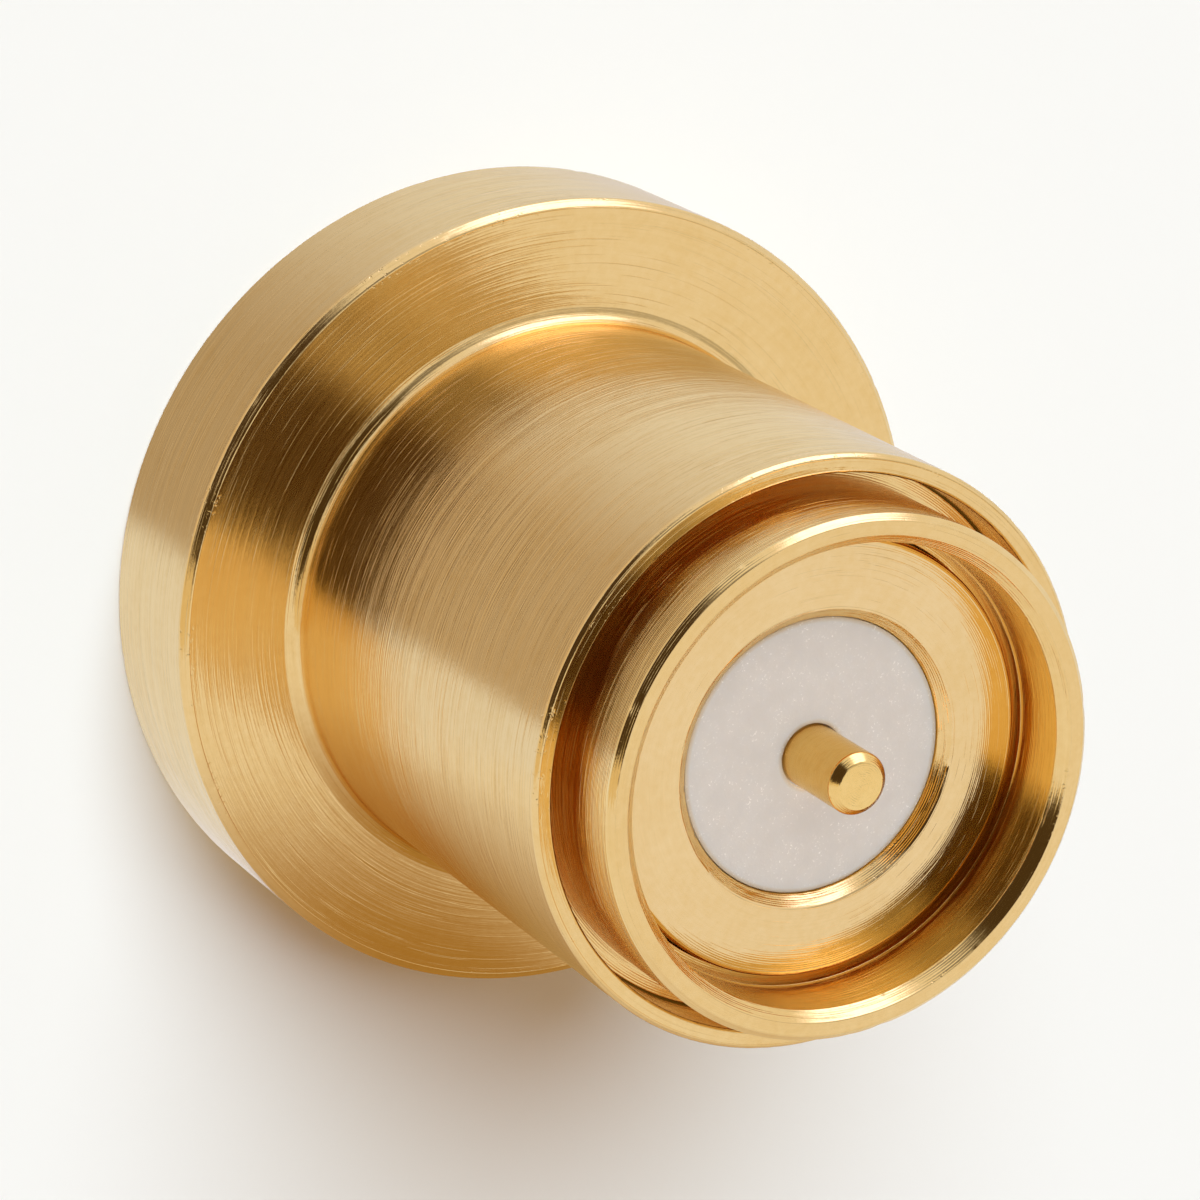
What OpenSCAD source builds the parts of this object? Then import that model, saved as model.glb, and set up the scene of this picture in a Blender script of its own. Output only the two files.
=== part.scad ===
// Fuzz button coaxial connector, standing on the rear face of its flange.
// The axis is +Z and the front interface is at the top. Millimetres.

/* [Centre line] */
// Diameter of the contact pin
pin_d = 0.93; // [0.8:0.01:1.2]
// Height of the pin's tip above the core face
pin_proud = 1.17; // [0.8:0.01:1.5]
// Chamfer of the pin's tip
pin_chamfer = 0.12; // [0.03:0.01:0.2]
// Step from the pin out to its shoulder
shoulder_step = 0.135; // [0.1:0.005:0.25]
// Thickness of the pin's shoulder
shoulder_t = 0.7; // [0.4:0.05:1.0]
// Wall of the contact tube
tube_wall = 0.28; // [0.2:0.01:0.5]
// Thickness of the contact tube's closed end
tube_end_t = 0.6; // [0.3:0.05:1.0]
// Length of the rear fuzz button
rear_button_l = 2.2; // [1.5:0.1:3.0]
// Diameter of the fuzz buttons' wire
strand_d = 0.14; // [0.08:0.01:0.2]
// Bends of the wire in one millimetre of fuzz button
bends_per_mm = 24; // [16:1:32]

/* [Dielectric] */
// Diameter of the insulators
dielectric_d = 4.1; // [3.8:0.02:4.6]
// Length of the front insulator
front_insulator_l = 2.36; // [1.5:0.02:3.0]
// Depth of the front insulator's face below the bore chamfer
dielectric_recess = 0.01; // [0:0.01:0.2]

/* [Core bushing] */
// Wall of the core's neck
neck_wall = 0.66; // [0.5:0.01:0.9]
// Step from the neck out to the head
head_step = 0.56; // [0.35:0.01:0.7]
// Length of the head
head_l = 1.6; // [1.2:0.02:2.4]
// Rounding of the head's front edge
head_edge_r = 0.1; // [0.05:0.01:0.2]
// Width of the sloping border of the core face
border_w = 0.45; // [0.3:0.01:0.7]
// Fall of the sloping border
border_fall = 0.03; // [0.01:0.005:0.1]
// Chamfer of the core's bore
bore_chamfer = 0.17; // [0.05:0.01:0.25]
// Height of the core face above the shell's rim
core_proud = 0.15; // [0:0.01:0.4]

/* [Ground sleeve] */
// Step from the sleeve's groove out to its bore
bore_step = 0.02; // [0.01:0.005:0.1]
// Depth of the sleeve's bore below its rim
bore_depth = 1.06; // [0.7:0.01:1.3]
// Step from the sleeve's guide out to the groove round the core's head
groove_step = 0.1; // [0.04:0.005:0.15]
// Depth of the groove behind the sleeve's bore
groove_depth = 0.3; // [0.15:0.01:0.5]
// Wall of the sleeve in front of its collar
sleeve_wall = 0.44; // [0.35:0.01:0.7]
// Height of the sleeve's rim above the shell's rim
sleeve_proud = 1.15; // [0.8:0.01:1.4]
// Outer chamfer of the sleeve's rim
sleeve_chamfer = 0.09; // [0.03:0.01:0.15]
// Inner chamfer of the sleeve's rim
sleeve_bore_chamfer = 0.15; // [0.03:0.01:0.2]
// Step from the sleeve out to its collar
collar_step = 0.255; // [0.1:0.005:0.4]
// Length of the collar
collar_l = 1.24; // [0.9:0.02:1.5]
// Chamfer of the collar's rear edge
collar_chamfer = 0.04; // [0.02:0.01:0.08]
// Thickness of the lip that catches under the core's head
lip_t = 0.66; // [0.4:0.02:0.8]

/* [Sleeve spring] */
// Diameter of the spring's wire
wire_d = 0.4; // [0.25:0.01:0.45]
// Turns of the spring
spring_turns = 7; // [5:1:8]
// Closed turns at each end of the spring
closed_turns = 1; // [0.5:0.25:1.5]

/* [Shell] */
// Wall of the barrel
shell_wall = 0.285; // [0.2:0.005:0.6]
// Length of the barrel in front of the flange
barrel_l = 7.87; // [7.3:0.01:9.5]
// Outer chamfer of the shell's rim
rim_chamfer = 0.06; // [0.02:0.01:0.09]
// Inner chamfer of the shell's rim
rim_bore_chamfer = 0.03; // [0.02:0.01:0.09]
// Fillet between the flange and the barrel
root_fillet = 0.25; // [0.1:0.01:0.5]
// Height of the spring's floor above the flange
floor_h = 0.64; // [0.3:0.01:1.0]
// Thickness of the flange
flange_t = 2.54; // [1.8:0.02:3.2]
// Width of the flange outside the barrel
flange_w = 1.92; // [1.2:0.01:3.0]
// Chamfer of the flange's front edge
flange_chamfer = 0.11; // [0.05:0.01:0.3]
// Chamfer of the flange's rear edge
flange_rear_chamfer = 0.05; // [0.02:0.01:0.3]

/* [Retaining collar] */
// Width of the retaining collar
retainer_w = 0.85; // [0.5:0.05:1.2]
// Thickness of the retaining collar
retainer_t = 0.8; // [0.4:0.05:1.2]
// Chamfer of the retaining collar's rear edges
retainer_chamfer = 0.06; // [0.02:0.01:0.12]

/* [Clearances] */
// Radial clearance between pieces that are pressed together
press_gap = 0.01; // [0.005:0.005:0.02]
// Radial clearance of the pin, its shoulder and the wire wads
slide_gap = 0.02; // [0.01:0.005:0.04]
// Radial clearance of the sleeve's guide round the core's head
guide_gap = 0.03; // [0.02:0.005:0.1]
// Radial clearance of the sleeve's lip round the core's neck
lip_gap = 0.1; // [0.05:0.01:0.15]
// Radial clearance of the sleeve's collar in the shell
collar_gap = 0.02; // [0.015:0.005:0.1]
// Axial clearance between pieces that rest on each other
rest_gap = 0.01; // [0.005:0.005:0.03]
// Radial clearance of the spring round the core's neck
spring_gap = 0.3; // [0.15:0.01:0.35]
// Clearance between the spring's closed turns
turn_gap = 0.05; // [0.03:0.01:0.1]

/* [Hidden] */

gold = [0.86, 0.68, 0.38];
dark_gold = [0.74, 0.55, 0.26];
steel = [0.72, 0.72, 0.74];
white = [0.9, 0.89, 0.87];

// Facets of a full turn
turn_fn = 96;
// Sides of the spring's wire and its rings in one turn
wire_sides = 8;
wire_steps = 28;
// Facets of the fuzz buttons' wire
strand_fn = 6;
// Least and most turn of the crumpled wire from one bend to the next, in degrees
least_swing = 55;
most_swing = 105;
// Least share of the fuzz button's section that lies inside a bend
least_reach = 0.15;
// How many bends early or late the crumpled wire comes to a height
stray_bends = 4;
// Seeds of the two crumpled wires
front_seed = 7;
rear_seed = 11;

// Radii, from the axis outwards
pin_r = pin_d / 2;
shoulder_r = pin_r + shoulder_step;
tube_bore_r = shoulder_r + slide_gap;
tube_r = tube_bore_r + tube_wall;
button_r = tube_bore_r - slide_gap;
dielectric_r = dielectric_d / 2;
core_bore_r = dielectric_r + press_gap;
neck_r = core_bore_r + neck_wall;
head_r = neck_r + head_step;
guide_r = head_r + guide_gap;
groove_r = guide_r + groove_step;
sleeve_bore_r = groove_r + bore_step;
sleeve_r = sleeve_bore_r + sleeve_wall;
collar_r = sleeve_r + collar_step;
lip_bore_r = neck_r + lip_gap;
shell_bore_r = collar_r + collar_gap;
barrel_r = shell_bore_r + shell_wall;
flange_r = barrel_r + flange_w;
web_bore_r = neck_r + press_gap;
retainer_r = web_bore_r + retainer_w;
pocket_r = retainer_r + press_gap;

// Heights, from the rear face forwards
floor_z = flange_t + floor_h;
rim_z = flange_t + barrel_l;
core_face_z = rim_z + core_proud;
head_z = core_face_z - head_l;
sleeve_rim_z = rim_z + sleeve_proud;
bore_z = sleeve_rim_z - bore_depth;
groove_z = bore_z - groove_depth;
lip_top = head_z - rest_gap;
lip_z = lip_top - lip_t;
ledge_z = lip_z + collar_l;
dielectric_z = core_face_z - bore_chamfer - dielectric_recess;
front_insulator_z = dielectric_z - front_insulator_l;
tube_z = rear_button_l + rest_gap;
tube_top = front_insulator_z - rest_gap;
shoulder_top = tube_top;
shoulder_z = shoulder_top - shoulder_t;
button_z = tube_z + tube_end_t + rest_gap;
button_top = shoulder_z - rest_gap;
pin_tip_z = core_face_z + pin_proud;

// Coil of the sleeve spring
coil_r = neck_r + spring_gap + wire_d / 2;
spring_z = floor_z + rest_gap;
spring_l = lip_z - rest_gap - spring_z;
closed_pitch = wire_d + turn_gap;
open_turns = spring_turns - 2 * closed_turns;
open_pitch = (spring_l - wire_d - 2 * closed_turns * closed_pitch) / open_turns;

// Height of the wire's centre after a number of turns
function coil_z(turn) =
    spring_z + wire_d / 2
    + closed_pitch * min(turn, closed_turns)
    + open_pitch * max(0, min(turn - closed_turns, open_turns))
    + closed_pitch * max(0, turn - closed_turns - open_turns);

// One ring of points round the wire after a number of turns
function wire_ring(turn) = [
    for (side = [0 : wire_sides - 1])
        let (
            around = 360 * side / wire_sides,
            reach = coil_r + wire_d / 2 * cos(around)
        )
        [
            reach * cos(360 * turn),
            reach * sin(360 * turn),
            coil_z(turn) + wire_d / 2 * sin(around)
        ]
];

// Faces of a tube made of rings, with a cap at each end
function tube_faces(rings, sides) = concat(
    [[for (side = [0 : sides - 1]) side]],
    [
        for (ring = [0 : rings - 2])
            for (side = [0 : sides - 1])
                let (
                    here = ring * sides,
                    next = here + sides,
                    beside = (side + 1) % sides
                )
                [here + side, next + side, next + beside, here + beside]
    ],
    [[for (side = [sides - 1 : -1 : 0]) (rings - 1) * sides + side]]
);

// Bends of a wire that is crumpled into a cylinder between two heights, the same for the same seed
function tangle(low, high, seed) =
    let (
        bends = round(bends_per_mm * (high - low)),
        room_r = button_r - strand_d / 2,
        room_l = high - low - strand_d,
        swing = rands(least_swing, most_swing, bends, seed),
        reach = rands(least_reach, 1, bends, seed + 1),
        stray = rands(-stray_bends, stray_bends, bends, seed + 2),
        heading = [
            for (bend = 0, angle = 0; bend < bends; angle = angle + swing[bend], bend = bend + 1) angle
        ]
    )
    [
        for (bend = [0 : bends - 1])
            let (
                from_axis = room_r * sqrt(reach[bend]),
                share = min(1, max(0, (bend + stray[bend]) / (bends - 1)))
            )
            [
                from_axis * cos(heading[bend]),
                from_axis * sin(heading[bend]),
                low + strand_d / 2 + room_l * share
            ]
    ];

// A piece turned about the axis from its half section
module turned(outline) {
    rotate_extrude($fn = turn_fn) polygon(outline);
}

// Section of a fillet in an inner corner
module cove(radius) {
    difference() {
        square(radius);
        translate([radius, radius]) circle(r = radius);
    }
}

module flanged_shell() {
    color(gold) rotate_extrude($fn = turn_fn) {
        polygon([
            [pocket_r, 0],
            [flange_r - flange_rear_chamfer, 0],
            [flange_r, flange_rear_chamfer],
            [flange_r, flange_t - flange_chamfer],
            [flange_r - flange_chamfer, flange_t],
            [barrel_r, flange_t],
            [barrel_r, rim_z - rim_chamfer],
            [barrel_r - rim_chamfer, rim_z],
            [shell_bore_r + rim_bore_chamfer, rim_z],
            [shell_bore_r, rim_z - rim_bore_chamfer],
            [shell_bore_r, floor_z],
            [web_bore_r, floor_z],
            [web_bore_r, retainer_t + press_gap],
            [pocket_r, retainer_t + press_gap]
        ]);
        translate([barrel_r, flange_t]) cove(root_fillet);
    }
}

// Mushroom shape: a neck through the flange and a head whose front edge is rounded
module core_bushing() {
    edge_r = head_r - head_edge_r;
    edge_z = core_face_z - border_fall - head_edge_r;
    color(gold) rotate_extrude($fn = turn_fn) {
        polygon([
            [core_bore_r, 0],
            [neck_r, 0],
            [neck_r, head_z],
            [head_r, head_z],
            [head_r, edge_z],
            [edge_r, edge_z],
            [edge_r, core_face_z - border_fall],
            [head_r - border_w, core_face_z],
            [core_bore_r + bore_chamfer, core_face_z],
            [core_bore_r, core_face_z - bore_chamfer]
        ]);
        translate([edge_r, edge_z]) intersection() {
            circle(r = head_edge_r);
            square(head_edge_r);
        }
    }
}

module retaining_collar() {
    color(dark_gold) turned([
        [web_bore_r + retainer_chamfer, 0],
        [retainer_r - retainer_chamfer, 0],
        [retainer_r, retainer_chamfer],
        [retainer_r, retainer_t],
        [web_bore_r, retainer_t],
        [web_bore_r, retainer_chamfer]
    ]);
}

// Floating ring: a lip under the core's head, a collar in the shell, a guide, a groove and a chamfered rim
module ground_sleeve() {
    color(gold) turned([
        [lip_bore_r, lip_z],
        [collar_r - collar_chamfer, lip_z],
        [collar_r, lip_z + collar_chamfer],
        [collar_r, ledge_z],
        [sleeve_r, ledge_z],
        [sleeve_r, sleeve_rim_z - sleeve_chamfer],
        [sleeve_r - sleeve_chamfer, sleeve_rim_z],
        [sleeve_bore_r + sleeve_bore_chamfer, sleeve_rim_z],
        [sleeve_bore_r, sleeve_rim_z - sleeve_bore_chamfer],
        [sleeve_bore_r, bore_z],
        [groove_r, bore_z],
        [groove_r, groove_z],
        [guide_r, groove_z],
        [guide_r, lip_top],
        [lip_bore_r, lip_top]
    ]);
}

module sleeve_spring() {
    rings = spring_turns * wire_steps + 1;
    color(steel) polyhedron(
        points = [for (ring = [0 : rings - 1]) each wire_ring(ring / wire_steps)],
        faces = tube_faces(rings, wire_sides)
    );
}

module front_insulator() {
    color(white) turned([
        [pin_r + slide_gap, front_insulator_z],
        [dielectric_r, front_insulator_z],
        [dielectric_r, dielectric_z],
        [pin_r + slide_gap, dielectric_z]
    ]);
}

// Long bead with a seat for the contact tube and a hole for the rear wire wad
module rear_insulator() {
    color(white) turned([
        [tube_bore_r, 0],
        [dielectric_r, 0],
        [dielectric_r, front_insulator_z - rest_gap],
        [tube_r + press_gap, front_insulator_z - rest_gap],
        [tube_r + press_gap, rear_button_l],
        [tube_bore_r, rear_button_l]
    ]);
}

module contact_tube() {
    color(dark_gold) turned([
        [0, tube_z],
        [tube_r, tube_z],
        [tube_r, tube_top],
        [tube_bore_r, tube_top],
        [tube_bore_r, tube_z + tube_end_t],
        [0, tube_z + tube_end_t]
    ]);
}

module contact_pin() {
    color(gold) turned([
        [0, shoulder_z],
        [shoulder_r, shoulder_z],
        [shoulder_r, shoulder_top],
        [pin_r, shoulder_top],
        [pin_r, pin_tip_z - pin_chamfer],
        [pin_r - pin_chamfer, pin_tip_z],
        [0, pin_tip_z]
    ]);
}

// One wire through a list of points
module strand(path) {
    for (bend = [1 : len(path) - 1]) hull() {
        translate(path[bend - 1]) sphere(d = strand_d, $fn = strand_fn);
        translate(path[bend]) sphere(d = strand_d, $fn = strand_fn);
    }
}

module fuzz_button() {
    color(dark_gold) strand(tangle(button_z, button_top, front_seed));
}

module rear_fuzz_button() {
    color(dark_gold) strand(tangle(0, rear_button_l, rear_seed));
}

flanged_shell();
core_bushing();
retaining_collar();
ground_sleeve();
sleeve_spring();
front_insulator();
rear_insulator();
contact_tube();
contact_pin();
fuzz_button();
rear_fuzz_button();
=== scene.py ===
"""Looks of a spring-loaded board connector: turned gold, white dielectric, coil spring and wire wads."""

import math
import random
from typing import NamedTuple

import bpy
import numpy as np
from mathutils import Matrix, Vector


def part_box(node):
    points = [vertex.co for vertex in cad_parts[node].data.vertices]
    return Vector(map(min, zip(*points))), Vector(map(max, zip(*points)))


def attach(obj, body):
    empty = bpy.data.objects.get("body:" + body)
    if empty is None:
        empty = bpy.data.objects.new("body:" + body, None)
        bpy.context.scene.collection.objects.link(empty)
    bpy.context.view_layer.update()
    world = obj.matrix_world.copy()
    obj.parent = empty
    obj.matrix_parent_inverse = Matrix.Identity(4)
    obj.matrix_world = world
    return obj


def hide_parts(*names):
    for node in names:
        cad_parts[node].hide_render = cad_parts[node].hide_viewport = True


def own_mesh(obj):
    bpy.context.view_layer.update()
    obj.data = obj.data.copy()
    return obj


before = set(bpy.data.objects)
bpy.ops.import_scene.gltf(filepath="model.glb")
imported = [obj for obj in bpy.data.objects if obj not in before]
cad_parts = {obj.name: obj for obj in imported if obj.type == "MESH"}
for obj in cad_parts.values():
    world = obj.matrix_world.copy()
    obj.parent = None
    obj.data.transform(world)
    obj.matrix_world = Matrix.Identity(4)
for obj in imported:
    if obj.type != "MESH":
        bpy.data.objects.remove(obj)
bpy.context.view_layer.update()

MM = 0.001
FULL_TURN = 2 * math.pi

# Turned shapes: steps round the axis and in a rounded edge, the edge's radius, and the worn band beside it
TURN_STEPS = 720
INNER_STEPS = 240
EDGE_STEPS = 4
EDGE_R = 0.03 * MM
CLOSE_EDGE_R = 0.012 * MM
WORN_W = 0.06 * MM
# The most of a side that a rounded edge takes up, and that its worn band reaches to
EDGE_SHARE = 0.3
WORN_SHARE = 0.45
# Corners that turn less than this belong to a curve and stay as they are, in degrees
CURVE_TURN = 20
# Decimals of a metre in which the points of one corner agree
DECIMALS = 6
# Lengths that count as nothing, along a section and from the axis
TINY = EDGE_R / 10
ON_AXIS = EDGE_R / 1000
# How squarely the widest wall faces away from the axis where it is a close fit
SQUARE_OUT = 0.99
# Dents along each edge: how many on a millimetre, their depth and half width, and how rare deep ones are
DENTS_PER_MM = 0.5
DENT_DEEP = (0.002 * MM, 0.010 * MM)
DENT_WIDE = (0.03 * MM, 0.12 * MM)
DENT_RARITY = 3

# Coil spring: its wire, its turns, the closed turns at each end, and its mesh's steps in a turn and sides
SPRING_WIRE = 0.4 * MM
SPRING_TURNS = 7
CLOSED_TURNS = 1
SPRING_STEPS = 72
SPRING_SIDES = 16
# Wire wads: the wire, its bends on a millimetre of height, and its mesh's steps between bends and sides
STRAND = 0.10 * MM
STRAND_BENDS_PER_MM = 40
STRAND_STEPS = 6
STRAND_SIDES = 8
# From one bend to the next: the turn in degrees, the share of the wad's section, and the bends it strays by
STRAND_TURN = (55, 115)
STRAND_REACH = (0.05, 1)
STRAND_STRAY = (-4, 4)

# Colours, linear
FACE_GOLD = (0.88, 0.605, 0.245)
WALL_GOLD = (0.86, 0.61, 0.27)
CORE_GOLD = (0.89, 0.63, 0.285)
SLEEVE_GOLD = (0.93, 0.69, 0.30)
# The next two are painted shade and bounced light: a darker, redder gold for walls that face the axis, and
# a more saturated gold for the core's walls and the sleeve's bore, which lie inside the sleeve
BORE_SHADE_GOLD = (0.81, 0.45, 0.05)
NESTED_SHADE_GOLD = (0.90, 0.60, 0.18)
PLAIN_GOLD = (0.83, 0.58, 0.25)
TIP_GOLD = (0.93, 0.63, 0.22)
PIN_GOLD = (0.85, 0.53, 0.15)
WIRE_GOLD = (0.85, 0.60, 0.26)
GRAZE_GOLD = (1.0, 0.95, 0.78)
STEEL = (0.56, 0.54, 0.50)
PTFE = (0.675, 0.605, 0.545)
PTFE_SPARK = (0.90, 0.83, 0.76)
# Painted warm light, bounced from the gold, on the dielectric's edges
PTFE_BOUNCE_LIGHT = (0.64, 0.47, 0.29)
FLOOR = (0.95, 0.945, 0.915)
# What the tone of the plating makes of its colour where it is low and where it is high
DULL_SHADE = (0.97, 0.93, 0.84)
BRIGHT_SHADE = (1.02, 1.03, 1.06)
# Painted shade: what is left of a wall's colour deep in a gap
PAINTED_GAP_SHADE = (0.62, 0.44, 0.24)
# Painted glow on walls in a close fit, standing in for the light of the bounces that are not traced
FIT_GLOW = (0.05, 0.045, 0.01)
# Shares of a colour where it is at its dullest
PTFE_DULL = 0.96
WIRE_DULL = 0.72
FLOOR_DULL = 0.99

# Feed of the turning tool: the pitch of the lines that it leaves
FINE_FEED = 0.034 * MM
SHELL_FEED = 0.058 * MM
# How far the ripple sways the feed lines, in radians
FEED_SWAY = 9.0
# Noise along turned lines: lines on a millimetre, strands round the axis, detail and roughness
RIPPLE = (5.0, 0.8, 2.0, 0.5)
BRUSH = (24.0, 2.4, 2.0, 0.6)
HAIR = (40.0, 2.4, 1.0, 0.5)
GRAIN = (30.0, 60.0, 2.0, 0.6)
SKIVING = (9.0, 3.0, 2.0, 0.5)
# Noise that is alike in all directions: scale on a millimetre, detail and roughness
BLOTCH = (0.9, 3.0, 0.55)
FLECK = (7.0, 3.0, 0.6)
PATCH = (0.55, 2.0, 0.5)
NICK = (13.0, 2.0, 0.6)
WIRE_PITS = (22.0, 3.0, 0.6)
WIRE_STAIN = (2.5, 3.0, 0.55)
PTFE_GRAIN = (28.0, 2.0, 0.6)
PTFE_MOTTLE = (3.0, 3.0, 0.6)
FLOOR_HAZE = (0.03, 2.0, 0.5)
# Values of a noise where a mark starts and where it is full
STREAK_BAND = (0.35, 0.65)
LINE_BAND = (0.35, 0.60)
PATCH_BAND = (0.40, 0.60)
SCRATCH_BAND = (0.64, 0.72)
NICK_BAND = (0.58, 0.68)
NICKED_BAND = (0.50, 0.60)
TONE_BAND = (0.38, 0.72)
GLOSS_BAND = (0.5, 1.5)
PIT_BAND = (0.3, 0.7)
STAIN_BAND = (0.35, 0.68)
MOTTLE_BAND = (0.35, 0.65)
SPARK_BAND = (0.62, 0.71)
SPARK_PATCH_BAND = (0.40, 0.60)
PTFE_GLOSS_BAND = (0.35, 0.72)
# Shares of the feed lines and of the brushing at the two ends of their bands
LINE_SHARES = (0.2, 1.0)
PATCH_SHARES = (0.45, 1.0)
# Shares of the blotches and flecks in the tone, and of the streaks on walls and on flat faces
TONE_SHARE = 0.5
STREAK_SHARES = (0.30, 0.08)
# Share of painted warm light, bounced from the gold, in the colour of the dielectric's edges
BOUNCE_LIGHT_SHARE = 0.9
# Depth of each mark in the gold, as a share of the finish's groove
BRUSH_DEPTH = 1.5
RIPPLE_DEPTH = 1.4
FEED_DEPTH = 0.5
SCRATCH_DEPTH = 0.5
GRAIN_DEPTH = 0.25
# Depth of the pits in wire, of the grains in the dielectric, and the skived lines' share of the latter
WIRE_GROOVE = 0.002 * MM
PTFE_GROOVE = 0.003 * MM
SKIVING_SHARE = 0.8
# How much rougher walls are than flat faces, and wire between its pits and in them than its mean
WALL_ROUGHER = 0.06
WIRE_ROUGHER = (-0.07, 0.09)
# Roughness of the dielectric between its grains and on them
PTFE_ROUGH = (0.55, 0.28)
# Part of the normal along the axis where a face's colour starts and is full, and away from it for a bore's
# painted shade
FACE_BAND = (0.1, 0.8)
BORE_BAND = (-0.3, -0.7)
# Part of the normal along the axis on level faces and where they end, for feed lines and for all lines
FEED_LEVEL = (1.0, 0.998)
LINE_LEVEL = (1.0, 0.99)
# The sleeve's wall takes a painted shade, darkening downwards between these heights from the shell's rim
PAINTED_SHADE_HEIGHTS = (-0.7 * MM, 0.5 * MM)

# Camera, in the frame of the part
CAMERA_AT = Vector((-0.32, -37.467, 61.409)) * MM
CAMERA_RIGHT = Vector((-0.5204, 0.7167, 0.4642))
CAMERA_UP = Vector((-0.8539, -0.4368, -0.2829))
CAMERA_LENS = 134.2
FLOOR_R = 3.0
# Bounces of light between the nested metal walls
LIGHT_BOUNCES = 8

# Studio light, as the metal sees it: soft light above, pale ground below, a bright panel, and cards
STUDIO_LIGHT = (0.90, 0.915, 1.02)
GROUND_LIGHT = (0.86, 0.92, 1.14)
HORIZON = 0.03
# The panel has an azimuth and elevation, and the angles from its middle where it is full and where it ends
KEY_LIGHT = (2.4, 2.45, 3.7)
KEY_PANEL = (190, 20)
KEY_FULL, KEY_END = 11, 24

# Cards are bounded by planes: a direction they face, and how far out a card is whole and where it ends

# A warmer stretch of the light overhead
WARM_LIGHT = (0.82, 0.72, 0.54)
WARM = (((-1.0, 0.0, 0.0), -0.55, -0.15),)
# A dim gap between the light overhead and the panel, dimmer on the camera's side
GAP_LIGHT = (0.55, 0.55, 0.57)
GAP = (
    ((1.0, 0.0, 0.0), -0.36, -0.24),
    ((-1.0, 0.0, 0.0), 0.50, 0.66),
    ((0.0, 0.0, -1.0), -0.62, -0.50),
)
DIM_GAP_LIGHT = (0.27, 0.27, 0.29)
DIM_GAP = (*GAP, ((0.0, 1.0, 0.0), -0.26, -0.17))
# A dark card on the camera's side
HIGH_CARD_LIGHT = (0.070, 0.046, 0.022)
HIGH_CARD = (
    ((0.927, 0.375, -0.12), 0.13, 0.19),
    ((-0.920, 0.390, 0.0), 0.0, 0.21),
    ((0.0, 1.0, 0.0), -0.16, 0.04),
    ((0.0, 0.0, -1.0), -0.36, -0.18),
)
# The cards above the horizon, each in front of those before it
CARDS_ABOVE = (
    (WARM, WARM_LIGHT),
    (GAP, GAP_LIGHT),
    (DIM_GAP, DIM_GAP_LIGHT),
    (HIGH_CARD, HIGH_CARD_LIGHT),
)
# The card below the horizon is dimmer straight down and brighter further up: shares of its light, and rises
LOW_CARD_LIGHT = (0.50, 0.432, 0.38)
LOW_CARD_SHARES = (0.76, 1.56)
LOW_CARD_RISES = (-1.0, -0.6)
LOW_CARD = (
    ((0.927, 0.375, 0.0), 0.17, 0.24),
    ((-0.920, 0.390, 0.0), -0.10, 0.62),
)
# A card beside the part, seen only in its metal: the angle it faces, its distance from the axis and its
# size, and a warm shade on it with a place, reach (across, up) and the shares of that reach where it fades
SIDE_CARD_TURN = 15
SIDE_CARD_AT = 6.45 * MM
SIDE_CARD_SPAN = (-11 * MM, 15 * MM)
SIDE_CARD_H = 40 * MM
SHADE_LIGHT = (0.42, 0.265, 0.095)
SHADE_AT = (1 * MM, 2.5 * MM)
SHADE_REACH = (5.5 * MM, 8 * MM)
SHADE_FADE = (0.25, 1.6)
# Two wide suns light what isn't metal: azimuth, elevation, spread in degrees, share of the floor's light
SUNS = {
    "dome": (225, 90, 170, (0.365, 0.24, 0.14)),
    "soft_key": (225, 48, 44, (0.635, 0.76, 0.86)),
}


# Objects


def scene_object(name, data):
    """A new object in the scene."""
    made = bpy.data.objects.new(name, data)
    bpy.context.scene.collection.objects.link(made)
    return made


def mesh_object(name, points, faces):
    """A smooth mesh object in the scene."""
    mesh = bpy.data.meshes.new(name)
    mesh.from_pydata(points, [], faces)
    mesh.shade_smooth()
    mesh.update()
    return scene_object(name, mesh)


def dress(piece, made):
    """The piece with its one material."""
    piece.data.materials.append(made)
    return piece


def seat(piece, node, body, made):
    """The piece stands for a node, rides on its body, and has a material."""
    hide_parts(node)
    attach(piece, body)
    return dress(piece, made)


# Section of a turned node


def outline(node):
    """Corners (radius, height) of a turned node's section in order, and whether they close into a ring."""
    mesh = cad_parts[node].data
    corners = [
        (round(math.hypot(v.co.x, v.co.y), DECIMALS), round(v.co.z, DECIMALS)) for v in mesh.vertices
    ]
    links = {}
    for edge in mesh.edges:
        a, b = (corners[v] for v in edge.vertices)
        if a != b:
            links.setdefault(a, set()).add(b)
            links.setdefault(b, set()).add(a)
    ends = sorted(corner for corner in links if len(links[corner]) == 1)
    path = [ends[0] if ends else min(links)]
    while True:
        onward = [corner for corner in sorted(links[path[-1]]) if corner not in path]
        if not onward:
            break
        path.append(onward[0])
    if ends:
        path = [(0.0, path[0][1]), *path, (0.0, path[-1][1])]
    return anticlockwise(path), not ends


def anticlockwise(path):
    """The same outline with the solid on its left."""
    area = sum(a[0] * b[1] - b[0] * a[1] for a, b in zip(path, path[1:] + path[:1]))
    return path if area > 0 else path[::-1]


def outward(start, end):
    """Normal of an outline's side that has the solid on its left."""
    run = (end - start).normalized()
    return Vector((run.y, -run.x))


def worn_edge(before, here, after, edge_r):
    """Rows of an outer corner: a rounded edge with a worn band on each side."""
    n_in, n_out = outward(before, here), outward(here, after)
    back, on = before - here, after - here
    reach = min(edge_r, EDGE_SHARE * back.length, EDGE_SHARE * on.length)
    worn_in = min(reach + WORN_W, WORN_SHARE * back.length)
    worn_out = min(reach + WORN_W, WORN_SHARE * on.length)
    start, end = here + back.normalized() * reach, here + on.normalized() * reach
    rows = [(*(here + back.normalized() * worn_in), *n_in, 0.0)]
    for step in range(EDGE_STEPS + 1):
        t = step / EDGE_STEPS
        spot = start * (1 - t) ** 2 + here * 2 * t * (1 - t) + end * t * t
        normal = (n_in * (1 - t) + n_out * t).normalized()
        rows.append((*spot, *normal, 1.0))
    rows.append((*(here + on.normalized() * worn_out), *n_out, 0.0))
    return rows


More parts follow.
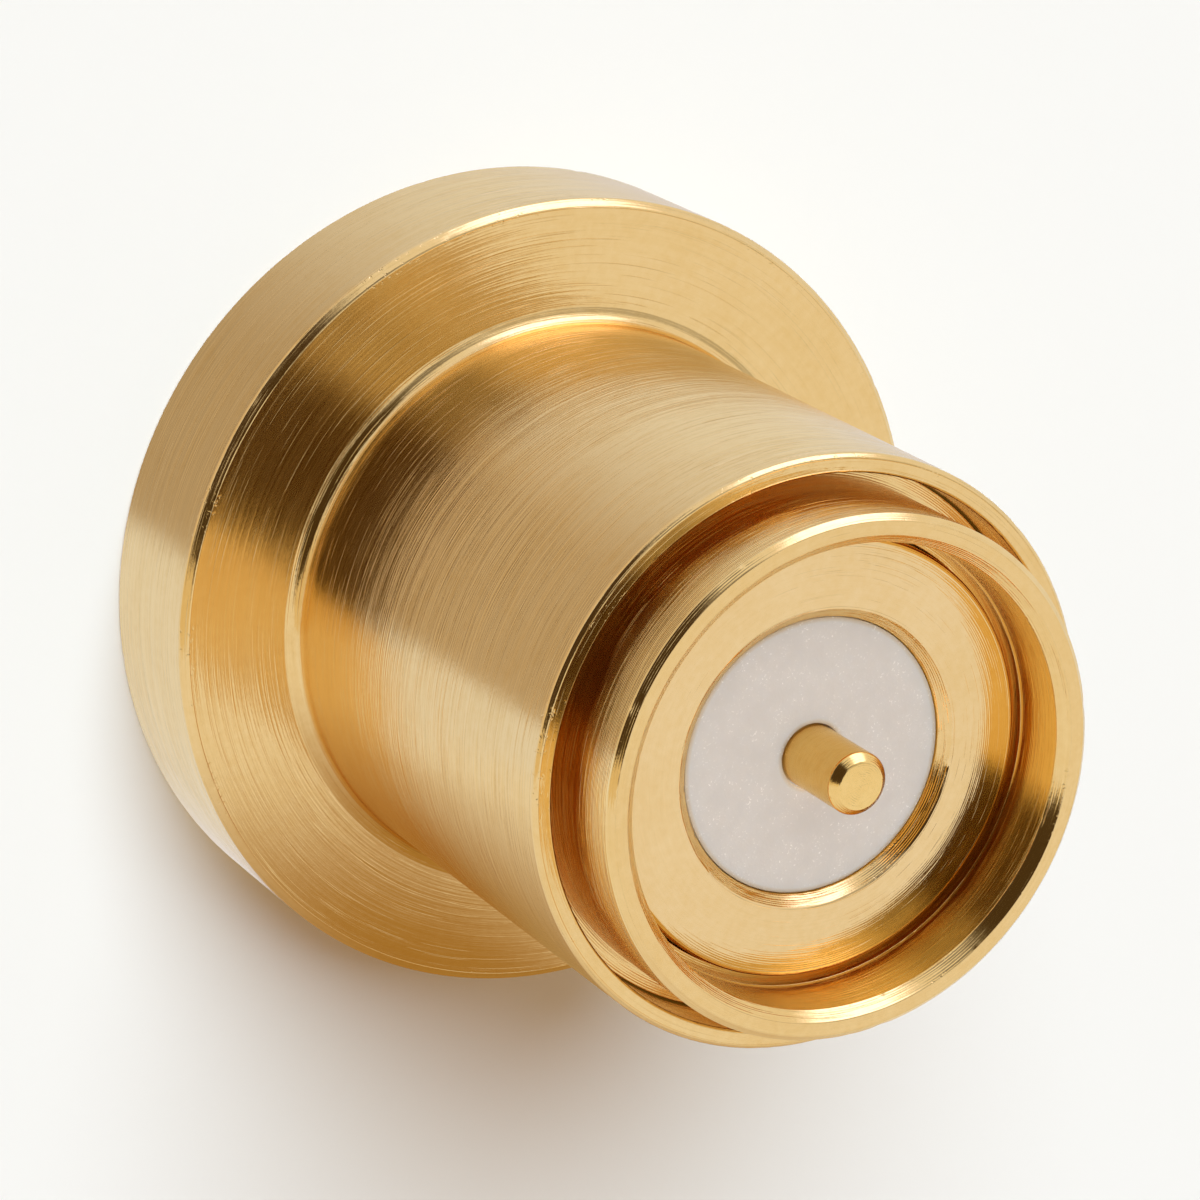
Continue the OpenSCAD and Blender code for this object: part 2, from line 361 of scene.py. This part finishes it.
def rounded(path, closed, edge_r):
    """Outline points with rounded outer edges: rows of radius, height, normal (2) and how near an edge."""
    points = [Vector(corner) for corner in path]
    last = len(points) - 1
    rows = []
    for i, here in enumerate(points):
        before, after = points[i - 1], points[(i + 1) % len(points)]
        n_in, n_out = outward(before, here), outward(here, after)
        if not closed and i in (0, last):
            rows.append((*here, *(n_out if i == 0 else n_in), 0.0))
        elif math.degrees(n_in.angle(n_out)) < CURVE_TURN:
            rows.append((*here, *(n_in + n_out).normalized(), 0.0))
        elif n_in.cross(n_out) > 0:
            rows.extend(worn_edge(before, here, after, edge_r))
        else:
            rows.append((*here, *n_in, 0.0))
            rows.append((*here, *n_out, 0.0))
    return np.array(rows)


# Turned pieces


def dents(radius, edge, steps, seed):
    """Depth of the small dents along the edges, for every point of the turned grid."""
    draw = random.Random(seed)
    angle = np.arange(steps) * FULL_TURN / steps
    deep = np.zeros((steps, len(radius)))
    edges = np.flatnonzero(edge > 0)
    for run in np.split(edges, np.flatnonzero(np.diff(edges) > 1) + 1):
        mean_r = radius[run].mean() if len(run) else 0.0
        for _ in range(int(FULL_TURN * mean_r / MM * DENTS_PER_MM)):
            centre = draw.uniform(0, FULL_TURN)
            wide = draw.uniform(*DENT_WIDE) / mean_r
            depth = DENT_DEEP[0] + (DENT_DEEP[1] - DENT_DEEP[0]) * draw.random() ** DENT_RARITY
            off = (angle - centre + math.pi) % FULL_TURN - math.pi
            deep[:, run] += depth * np.exp(-((off / wide) ** 2))[:, None]
    return deep


def spun(radial, tangent, axial):
    """Vectors of the turned grid from their parts away from the axis, round it and along it."""
    angle = np.arange(len(axial)) * FULL_TURN / len(axial)
    cos, sin = np.cos(angle)[:, None], np.sin(angle)[:, None]
    return np.stack([radial * cos - tangent * sin, radial * sin + tangent * cos, axial], axis=-1)


def spun_faces(steps, count, closed):
    """Quads of the turned grid; a section that isn't closed starts and ends on the axis."""
    here = np.arange(steps)[:, None] * count
    after = (np.arange(steps)[:, None] + 1) % steps * count
    low = np.arange(count if closed else count - 1)[None, :]
    high = (low + 1) % count
    return np.stack([here + low, after + low, after + high, here + high], axis=-1).reshape(-1, 4)


def grid_piece(name, points, faces, normals, **numbers):
    """A smooth mesh object with numbers for each point; the points at one place on the axis become one."""
    on_axis = np.hypot(points[:, 0], points[:, 1]) < ON_AXIS
    keys = [("axis", round(points[i, 2], DECIMALS)) if on_axis[i] else i for i in range(len(points))]
    first = {}
    index = np.array([first.setdefault(key, i) for i, key in enumerate(keys)])
    kept = np.unique(index)
    place = np.zeros(len(points), int)
    place[kept] = np.arange(len(kept))
    loops = [list(dict.fromkeys(face)) for face in place[index[faces]].tolist()]
    piece = mesh_object(name, points[kept].tolist(), [loop for loop in loops if len(loop) > 2])
    piece.data.normals_split_custom_set_from_vertices(normals[kept].tolist())
    for key, values in numbers.items():
        stored = piece.data.attributes.new(key, "FLOAT", "POINT")
        stored.data.foreach_set("value", values[kept].astype(np.float32))
    return piece


def turned(name, node, body, made, steps=TURN_STEPS, edge_r=EDGE_R, seed=1, fitted=False):
    """A finely turned piece with rounded, slightly dented edges that stands for a turned node."""
    path, closed = outline(node)
    radius, height, out, up, edge = rounded(path, closed, edge_r).T
    along = np.concatenate([[0.0], np.cumsum(np.hypot(np.diff(radius), np.diff(height)))])
    deep = dents(radius, edge, steps, seed)
    points = spun(radius - deep * out, 0.0, height - deep * up)

    slope_round = (np.roll(deep, -1, 0) - np.roll(deep, 1, 0)) * steps / (2 * FULL_TURN)
    slope_round /= np.maximum(radius, EDGE_R)
    slope_along = np.gradient(deep, axis=1) / np.maximum(np.gradient(along), TINY)
    normals = spun(out - slope_along * up, slope_round, up + slope_along * out)
    normals /= np.linalg.norm(normals, axis=-1, keepdims=True)

    # Walls in a close fit get a painted glow
    close_fit = fitted & (radius > radius.max() - TINY) & (out > SQUARE_OUT)
    piece = grid_piece(
        name,
        points.reshape(-1, 3),
        spun_faces(steps, len(radius), closed),
        normals.reshape(-1, 3),
        along=np.tile(along, steps),
        edge=np.tile(edge, steps),
        fitted=np.tile(close_fit, steps),
    )
    return seat(piece, node, body, made)


# Wire pieces


def sweep(name, spine, radius, sides):
    """A round wire along a list of points, with flat ends."""
    spine = np.asarray(spine)
    runs = np.gradient(spine, axis=0)
    runs /= np.linalg.norm(runs, axis=1, keepdims=True)
    turn = (np.arange(sides) * FULL_TURN / sides)[:, None]
    side = np.cross(runs[0], (0, 0, 1.0))
    rings = []
    for spot, run in zip(spine, runs):
        side = side - run * (side @ run)
        side = side / np.linalg.norm(side)
        rings.append(spot + radius * (np.cos(turn) * side + np.sin(turn) * np.cross(run, side)))
    last = (len(spine) - 1) * sides
    faces = []
    for near in range(0, last, sides):
        far = near + sides
        for s in range(sides):
            t = (s + 1) % sides
            faces.append((near + s, near + t, far + t, far + s))
    caps = [tuple(reversed(range(sides))), tuple(range(last, last + sides))]
    return mesh_object(name, np.concatenate(rings).tolist(), faces + caps)


def wire_piece(name, node, points, radius, sides, made):
    """A wire that stands for a node in the shell."""
    return seat(sweep(name, points, radius, sides), node, "shell", made)


def coil(node):
    """Points along a spring whose end turns are closed, inside the node's box."""
    low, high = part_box(node)
    radius = high.x - SPRING_WIRE / 2
    rise = SPRING_WIRE * CLOSED_TURNS
    span = high.z - low.z - SPRING_WIRE
    knots = [0, CLOSED_TURNS, SPRING_TURNS - CLOSED_TURNS, SPRING_TURNS]
    heights = [0, rise, span - rise, span]
    points = []
    for step in range(SPRING_TURNS * SPRING_STEPS + 1):
        turn = step / SPRING_STEPS
        z = low.z + SPRING_WIRE / 2 + np.interp(turn, knots, heights)
        angle = FULL_TURN * turn
        points.append((radius * math.cos(angle), radius * math.sin(angle), z))
    return points


def random_bends(reach, base, span, seed):
    """Corners of one wire that winds about the axis at random, from the base up."""
    draw = random.Random(seed)
    count = int(span / MM * STRAND_BENDS_PER_MM)
    angle = 0.0
    corners = []
    for bend in range(count + 1):
        angle += math.radians(draw.uniform(*STRAND_TURN))
        share = math.sqrt(draw.uniform(*STRAND_REACH))
        stray = draw.uniform(*STRAND_STRAY)
        height = base + span * min(max((bend + stray) / count, 0), 1)
        corners.append(Vector((reach * share * math.cos(angle), reach * share * math.sin(angle), height)))
    return corners


def smooth_path(corners):
    """Points of a smooth curve through all corners but the first and the last."""
    points = []
    for i in range(1, len(corners) - 2):
        p0, p1, p2, p3 = corners[i - 1 : i + 3]
        for step in range(STRAND_STEPS):
            t = step / STRAND_STEPS
            curve = p1 * 2 + (p2 - p0) * t
            curve += (p0 * 2 - p1 * 5 + p2 * 4 - p3) * t * t + (p1 * 3 - p0 - p2 * 3 + p3) * t**3
            points.append(curve / 2)
    return points


def crumpled(node, seed):
    """Points along one fine wire crumpled into a round wad, inside the node's box."""
    low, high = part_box(node)
    reach = high.x - STRAND
    base, span = low.z + STRAND / 2, high.z - low.z - STRAND
    points = smooth_path(random_bends(reach, base, span, seed))
    for spot in points:
        flat = math.hypot(spot.x, spot.y)
        if flat > reach:
            spot.x, spot.y = spot.x * reach / flat, spot.y * reach / flat
        spot.z = min(max(spot.z, base), base + span)
    return [tuple(spot) for spot in points]


def wire_wad(name, node, made, seed):
    """A wad of one fine gold wire that stands for a node in the shell."""
    return wire_piece(name, node, crumpled(node, seed), STRAND / 2, STRAND_SIDES, made)


# Materials


class Nodes:
    """Short calls to build a node tree."""

    def __init__(self, tree):
        self.tree = tree
        tree.nodes.clear()

    def add(self, kind, **settings):
        node = self.tree.nodes.new(kind)
        for key, value in settings.items():
            setattr(node, key, value)
        return node

    def link(self, value, socket):
        if isinstance(value, bpy.types.NodeSocket):
            self.tree.links.new(value, socket)
        else:
            socket.default_value = value

    def math(self, operation, a, b=0.0):
        node = self.add("ShaderNodeMath", operation=operation)
        self.link(a, node.inputs[0])
        self.link(b, node.inputs[1])
        return node.outputs[0]

    def plus(self, a, b):
        return self.math("ADD", a, b)

    def times(self, a, b):
        return self.math("MULTIPLY", a, b)

    def weighted(self, *parts):
        """Sum of values, each times its share."""
        total = 0.0
        for value, share in parts:
            total = self.plus(self.times(value, share), total)
        return total

    def vector(self, operation, a, b=(0, 0, 0)):
        node = self.add("ShaderNodeVectorMath", operation=operation)
        self.link(a, node.inputs[0])
        self.link(b, node.inputs[1])
        return node.outputs["Value" if operation == "DOT_PRODUCT" else "Vector"]

    def split(self, vector):
        node = self.add("ShaderNodeSeparateXYZ")
        self.link(vector, node.inputs[0])
        return node.outputs

    def fit(self, value, low, high, to_low=0.0, to_high=1.0, smooth=False):
        node = self.add("ShaderNodeMapRange")
        node.interpolation_type = "SMOOTHSTEP" if smooth else "LINEAR"
        for socket, item in zip(node.inputs, (value, low, high, to_low, to_high)):
            self.link(item, socket)
        return node.outputs[0]

    def between(self, factor, a, b):
        return self.fit(factor, 0.0, 1.0, a, b)

    def blend(self, factor, a, b):
        node = self.add("ShaderNodeMix", data_type="RGBA")
        self.link(factor, node.inputs["Factor"])
        self.link(a, node.inputs[6])
        self.link(b, node.inputs[7])
        return node.outputs[2]

    def bump(self, height, distance):
        node = self.add("ShaderNodeBump")
        self.link(height, node.inputs["Height"])
        node.inputs["Distance"].default_value = distance
        node.inputs["Strength"].default_value = 1.0
        return node.outputs[0]

    def place(self):
        """Where the point is, in the frame of the part."""
        return self.add("ShaderNodeTexCoord").outputs["Object"]

    def heading(self):
        """Direction from the axis to the point."""
        return self.vector("NORMALIZE", self.vector("MULTIPLY", self.place(), (1, 1, 0)))

    def number(self, name):
        """A number that the mesh holds for each point."""
        return self.add("ShaderNodeAttribute", attribute_name=name).outputs["Fac"]

    def noise(self, vector, scale, detail, roughness):
        node = self.add("ShaderNodeTexNoise")
        self.link(vector, node.inputs["Vector"])
        node.inputs["Scale"].default_value = scale
        node.inputs["Detail"].default_value = detail
        node.inputs["Roughness"].default_value = roughness
        return node.outputs[0]

    def plain_noise(self, scale_per_mm, detail, roughness):
        """Noise that is alike in all directions."""
        return self.noise(self.place(), scale_per_mm / MM, detail, roughness)

    def turned_noise(self, lines_per_mm, strands, detail, roughness):
        """Noise that changes fast across turned lines and slowly along them."""
        x, y, _ = self.split(self.vector("MULTIPLY", self.heading(), (strands,) * 3))
        across = self.times(self.number("along"), lines_per_mm / MM)
        joined = self.add("ShaderNodeCombineXYZ")
        for value, socket in zip((x, y, across), joined.inputs):
            self.link(value, socket)
        return self.noise(joined.outputs[0], 1.0, detail, roughness)


def rgba(colour, share=1.0):
    """The colour, or a share of it, as a socket takes it."""
    return (*(share * part for part in colour), 1.0)


def material(name):
    """A new material and its empty node tree."""
    made = bpy.data.materials.new(name)
    made.use_nodes = True
    return made, Nodes(made.node_tree)


def surface(nodes, **sockets):
    """Ends the tree in a Principled surface with the given sockets."""
    shader = nodes.add("ShaderNodeBsdfPrincipled")
    for name, value in sockets.items():
        nodes.link(value, shader.inputs[name.replace("_", " ")])
    output = nodes.add("ShaderNodeOutputMaterial")
    nodes.link(shader.outputs[0], output.inputs["Surface"])


class Finish(NamedTuple):
    """What sets one turned gold finish apart from another."""

    # Colours of flat faces, of walls that face away from the axis, and the painted shade of walls that face
    # it
    face: tuple = FACE_GOLD
    wall: tuple = WALL_GOLD
    bore_shade: tuple = BORE_SHADE_GOLD
    # Depth of the lines, and the share and pitch of the tool's feed lines
    groove: float = 0.0034 * MM
    feed: float = 0.15
    pitch: float = SHELL_FEED
    # What is left of the feed lines and of all lines on level faces, and what all lines rise to elsewhere
    calm: float = 1.0
    lay: float = 1.0
    lift: float = 1.5
    # Heights between which walls take a painted shade that darkens downwards, if they do
    painted_shade_heights: tuple = ()
    # Roughness between the bright streaks and on them
    rough: tuple = (0.16, 0.09)


def gold_colour(nodes, finish, flat, inward, streak, blotch):
    """Plating by the way it faces, with blotches, flecks and streaks, and with painted shade on walls that
    face the axis and deep in a gap.
    """
    # Walls that face the axis take the painted shade of a bore
    wall = nodes.blend(inward, rgba(finish.wall), rgba(finish.bore_shade))
    base = nodes.blend(flat, wall, rgba(finish.face))
    tone = nodes.weighted(
        (blotch, TONE_SHARE),
        (nodes.plain_noise(*FLECK), TONE_SHARE),
        (streak, nodes.between(flat, *STREAK_SHARES)),
    )
    shade = nodes.blend(nodes.fit(tone, *TONE_BAND), rgba(DULL_SHADE), rgba(BRIGHT_SHADE))
    colour = nodes.vector("MULTIPLY", base, shade)
    if finish.painted_shade_heights:
        # Painted shade deep in the gap, darker downwards
        low = nodes.fit(nodes.split(nodes.place())[2], *finish.painted_shade_heights, 1.0, 0.0)
        low = nodes.times(low, nodes.between(flat, 1.0, 0.0))
        colour = nodes.blend(low, colour, nodes.vector("MULTIPLY", colour, PAINTED_GAP_SHADE))
    return colour


def gold_height(nodes, finish, level, brush, blotch):
    """Feed lines, brushing, scratches and grain, less the nicks in the edges."""
    ripple = nodes.turned_noise(*RIPPLE)
    turns = nodes.times(nodes.number("along"), FULL_TURN / finish.pitch)
    line = nodes.math("SINE", nodes.plus(turns, nodes.times(ripple, FEED_SWAY)))
    line = nodes.times(line, nodes.fit(brush, *LINE_BAND, *LINE_SHARES))
    line = nodes.times(line, nodes.fit(level, *FEED_LEVEL, finish.calm, 1.0))
    patch = nodes.fit(nodes.plain_noise(*PATCH), *PATCH_BAND, *PATCH_SHARES)
    scratch = nodes.fit(nodes.turned_noise(*HAIR), *SCRATCH_BAND)
    height = nodes.weighted(
        (nodes.times(brush, patch), BRUSH_DEPTH),
        (ripple, RIPPLE_DEPTH),
        (line, finish.feed * FEED_DEPTH),
        (scratch, -SCRATCH_DEPTH),
        (nodes.turned_noise(*GRAIN), GRAIN_DEPTH),
    )
    height = nodes.times(height, nodes.fit(level, *LINE_LEVEL, finish.lay, finish.lift))
    nicked = nodes.times(nodes.number("edge"), nodes.fit(nodes.plain_noise(*NICK), *NICK_BAND))
    nicked = nodes.times(nicked, nodes.fit(blotch, *NICKED_BAND))
    return nodes.math("SUBTRACT", height, nicked)


def turned_gold(name, finish):
    """Gold plating over turned brass: feed lines, brushed streaks, scratches, grain and nicked edges."""
    made, nodes = material(name)
    normal = nodes.add("ShaderNodeTexCoord").outputs["Normal"]
    level = nodes.math("ABSOLUTE", nodes.split(normal)[2])
    flat = nodes.fit(level, *FACE_BAND)
    inward = nodes.fit(nodes.vector("DOT_PRODUCT", nodes.heading(), normal), *BORE_BAND)
    brush = nodes.turned_noise(*BRUSH)
    streak = nodes.fit(brush, *STREAK_BAND)
    blotch = nodes.plain_noise(*BLOTCH)
    gloss = nodes.fit(nodes.plus(streak, blotch), *GLOSS_BAND, *finish.rough)
    tangent = nodes.add("ShaderNodeTangent", direction_type="RADIAL", axis="Z")
    surface(
        nodes,
        Base_Color=gold_colour(nodes, finish, flat, inward, streak, blotch),
        Metallic=1.0,
        Specular_Tint=rgba(GRAZE_GOLD),
        Roughness=nodes.plus(gloss, nodes.between(flat, WALL_ROUGHER, 0.0)),
        Anisotropic=0.4,
        Anisotropic_Rotation=0.25,
        Tangent=tangent.outputs[0],
        Normal=nodes.bump(gold_height(nodes, finish, level, brush, blotch), finish.groove),
        # Painted glow on walls in a close fit
        Emission_Color=rgba(FIT_GLOW),
        Emission_Strength=nodes.number("fitted"),
    )
    return made


def wire_metal(name, tone, rough):
    """Drawn wire: stains and small pits."""
    made, nodes = material(name)
    pits = nodes.plain_noise(*WIRE_PITS)
    stain = nodes.fit(nodes.plain_noise(*WIRE_STAIN), *STAIN_BAND)
    surface(
        nodes,
        Base_Color=nodes.blend(stain, rgba(tone, WIRE_DULL), rgba(tone)),
        Metallic=1.0,
        Roughness=nodes.fit(pits, *PIT_BAND, *(rough + more for more in WIRE_ROUGHER)),
        Normal=nodes.bump(pits, WIRE_GROOVE),
    )
    return made


def white_dielectric(name):
    """Fluoropolymer: milky, with skived lines, bright grains, mottling and edges warmed by painted light
    bounced from the gold.
    """
    made, nodes = material(name)
    grain = nodes.plain_noise(*PTFE_GRAIN)
    mottle = nodes.plain_noise(*PTFE_MOTTLE)
    spark = nodes.times(nodes.fit(grain, *SPARK_BAND), nodes.fit(mottle, *SPARK_PATCH_BAND))
    colour = nodes.blend(nodes.fit(mottle, *MOTTLE_BAND), rgba(PTFE, PTFE_DULL), rgba(PTFE))
    # Painted warm light bounced from the gold along the edges
    colour = nodes.blend(nodes.times(nodes.number("edge"), BOUNCE_LIGHT_SHARE), colour, rgba(PTFE_BOUNCE_LIGHT))
    height = nodes.plus(grain, nodes.times(nodes.turned_noise(*SKIVING), SKIVING_SHARE))
    surface(
        nodes,
        Base_Color=nodes.blend(spark, colour, rgba(PTFE_SPARK)),
        Roughness=nodes.fit(grain, *PTFE_GLOSS_BAND, *PTFE_ROUGH),
        IOR=1.36,
        Subsurface_Weight=0.7,
        Subsurface_Radius=(1.0, 0.9, 0.8),
        Subsurface_Scale=0.5 * MM,
        Normal=nodes.bump(height, PTFE_GROOVE),
    )
    return made


# Pieces

rim_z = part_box("flanged_shell")[1].z
gold_shell = turned_gold("gold_shell", Finish(lay=0.65))
gold_core = turned_gold(
    "gold_core",
    Finish(
        face=CORE_GOLD,
        wall=NESTED_SHADE_GOLD,
        groove=0.0017 * MM,
        feed=0.55,
        pitch=FINE_FEED,
        calm=0.3,
        lift=2.2,
        rough=(0.11, 0.06),
    ),
)
gold_sleeve = turned_gold(
    "gold_sleeve",
    Finish(
        wall=SLEEVE_GOLD,
        bore_shade=NESTED_SHADE_GOLD,
        groove=0.0018 * MM,
        feed=0.5,
        pitch=FINE_FEED,
        lift=1.9,
        painted_shade_heights=tuple(rim_z + height for height in PAINTED_SHADE_HEIGHTS),
        rough=(0.14, 0.08),
    ),
)
gold_pin = turned_gold(
    "gold_pin",
    Finish(
        face=TIP_GOLD,
        wall=PIN_GOLD,
        groove=0.0026 * MM,
        feed=1.0,
        pitch=FINE_FEED,
        lift=0.5,
        rough=(0.14, 0.09),
    ),
)
gold_plain = turned_gold("gold_plain", Finish(face=PLAIN_GOLD, wall=PLAIN_GOLD))
dielectric = white_dielectric("dielectric")
spring_steel = wire_metal("spring_steel", STEEL, rough=0.30)
gold_wire = wire_metal("gold_wire", WIRE_GOLD, rough=0.26)

turned("shell_turned", "flanged_shell", "shell", gold_shell, seed=3)
turned("core_turned", "core_bushing", "shell", gold_core, seed=5)
turned(
    "sleeve_turned",
    "ground_sleeve",
    "sleeve",
    gold_sleeve,
    edge_r=CLOSE_EDGE_R,
    seed=7,
    fitted=True,
)
pin = turned("pin_turned", "contact_pin", "pin", gold_pin, INNER_STEPS, seed=9)
pin.visible_shadow = False
turned("retainer_turned", "retaining_collar", "shell", gold_plain, INNER_STEPS)
turned("tube_turned", "contact_tube", "shell", gold_plain, INNER_STEPS)
turned("front_bead", "front_insulator", "shell", dielectric, INNER_STEPS, CLOSE_EDGE_R)
turned("rear_bead", "rear_insulator", "shell", dielectric, INNER_STEPS)

spring = wire_piece(
    "spring_coil",
    "sleeve_spring",
    coil("sleeve_spring"),
    SPRING_WIRE / 2,
    SPRING_SIDES,
    spring_steel,
)
wad = wire_wad("wire_wad", "fuzz_button", gold_wire, seed=7)
wire_wad("rear_wire_wad", "rear_fuzz_button", gold_wire, seed=11)

for piece, node, joint in ((spring, "sleeve_spring", "sleeve_slide"), (wad, "fuzz_button", "pin_slide")):
    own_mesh(piece)


# Floor, light and camera


def pale_floor():
    """A plain floor that the metal doesn't see: it sees the studio's ground instead."""
    made, nodes = material("pale_floor")
    haze = nodes.plain_noise(*FLOOR_HAZE)
    colour = nodes.blend(haze, rgba(FLOOR, FLOOR_DULL), rgba(FLOOR))
    surface(nodes, Base_Color=colour, Roughness=0.45, IOR=1.25)
    r = FLOOR_R
    floor = mesh_object("floor", [(-r, -r, 0), (r, -r, 0), (r, r, 0), (-r, r, 0)], [(0, 1, 2, 3)])
    floor.visible_glossy = False
    dress(floor, made)


def direction(azimuth, elevation):
    """Unit vector towards an azimuth and elevation in degrees."""
    a, e = math.radians(azimuth), math.radians(elevation)
    return (math.cos(a) * math.cos(e), math.sin(a) * math.cos(e), math.sin(e))


def card_mask(nodes, way, planes):
    """1 inside a card that planes bound, 0 outside it, with soft edges."""
    mask = 1.0
    for facing, whole, end in planes:
        out = nodes.vector("DOT_PRODUCT", way, facing)
        mask = nodes.times(nodes.fit(out, whole, end, 1.0, 0.0, smooth=True), mask)
    return mask


def studio():
    """Light all round that the metal sees; what isn't metal takes its light from the suns."""
    world = bpy.data.worlds.new("studio")
    world.use_nodes = True
    world.cycles_visibility.diffuse = False
    bpy.context.scene.world = world
    nodes = Nodes(world.node_tree)
    way = nodes.add("ShaderNodeTexCoord").outputs["Generated"]
    rise = nodes.vector("DOT_PRODUCT", way, (0, 0, 1))
    near = nodes.vector("DOT_PRODUCT", way, direction(*KEY_PANEL))
    ends = (math.cos(math.radians(angle)) for angle in (KEY_END, KEY_FULL))
    above = nodes.blend(nodes.fit(near, *ends, smooth=True), rgba(STUDIO_LIGHT), rgba(KEY_LIGHT))
    for planes, light in CARDS_ABOVE:
        above = nodes.blend(card_mask(nodes, way, planes), above, rgba(light))
    dim, lit = (rgba(LOW_CARD_LIGHT, share) for share in LOW_CARD_SHARES)
    low = nodes.blend(nodes.fit(rise, *LOW_CARD_RISES), dim, lit)
    below = nodes.blend(card_mask(nodes, way, LOW_CARD), rgba(GROUND_LIGHT), low)
    glow = nodes.add("ShaderNodeBackground")
    nodes.link(nodes.blend(nodes.fit(rise, -HORIZON, HORIZON), below, above), glow.inputs["Color"])
    nodes.link(glow.outputs[0], nodes.add("ShaderNodeOutputWorld").inputs["Surface"])


def side_card():
    """A card that only metal sees, in the studio's light with a soft warm shade on it."""
    made, nodes = material("side_card")
    off = nodes.vector("SUBTRACT", nodes.place(), (0, *SHADE_AT))
    off = nodes.vector("MULTIPLY", off, (0, 1 / SHADE_REACH[0], 1 / SHADE_REACH[1]))
    far = nodes.math("SQRT", nodes.vector("DOT_PRODUCT", off, off))
    shade = nodes.fit(far, *SHADE_FADE, 1.0, 0.0, smooth=True)
    glow = nodes.add("ShaderNodeEmission")
    nodes.link(nodes.blend(shade, rgba(STUDIO_LIGHT), rgba(SHADE_LIGHT)), glow.inputs["Color"])
    nodes.link(glow.outputs[0], nodes.add("ShaderNodeOutputMaterial").inputs["Surface"])
    (left, right), top = SIDE_CARD_SPAN, SIDE_CARD_H
    corners = [(0, left, 0), (0, right, 0), (0, right, top), (0, left, top)]
    card = mesh_object("side_card", corners, [(0, 1, 2, 3)])
    turn = math.radians(SIDE_CARD_TURN)
    card.rotation_euler = (0, 0, turn)
    card.location = (SIDE_CARD_AT * math.cos(turn), SIDE_CARD_AT * math.sin(turn), 0)
    card.visible_camera = False
    card.visible_diffuse = False
    card.visible_shadow = False
    dress(card, made)


def suns():
    """Wide suns for the floor and the dielectric; the metal takes its light from the studio."""
    for name, (azimuth, elevation, spread, share) in SUNS.items():
        light = bpy.data.lights.new(name, "SUN")
        light.energy = max(share) * math.pi / math.sin(math.radians(elevation))
        light.color = [part / max(share) for part in share]
        light.angle = math.radians(spread)
        lamp = scene_object(name, light)
        lamp.rotation_mode = "QUATERNION"
        lamp.rotation_quaternion = Vector(direction(azimuth, elevation)).to_track_quat("Z", "Y")
        lamp.visible_glossy = False


def camera():
    """The camera at the photograph's viewing angle."""
    back = CAMERA_RIGHT.cross(CAMERA_UP)
    pose = Matrix((CAMERA_RIGHT, CAMERA_UP, back)).transposed().to_4x4()
    pose.translation = CAMERA_AT
    view = bpy.data.cameras.new("camera")
    view.lens = CAMERA_LENS
    view.clip_start = MM
    made = scene_object("camera", view)
    made.matrix_world = pose
    bpy.context.scene.camera = made


pale_floor()
studio()
side_card()
suns()
camera()
bpy.context.scene.view_settings.view_transform = "Standard"
bpy.context.scene.cycles.max_bounces = LIGHT_BOUNCES
bpy.context.scene.cycles.glossy_bounces = LIGHT_BOUNCES
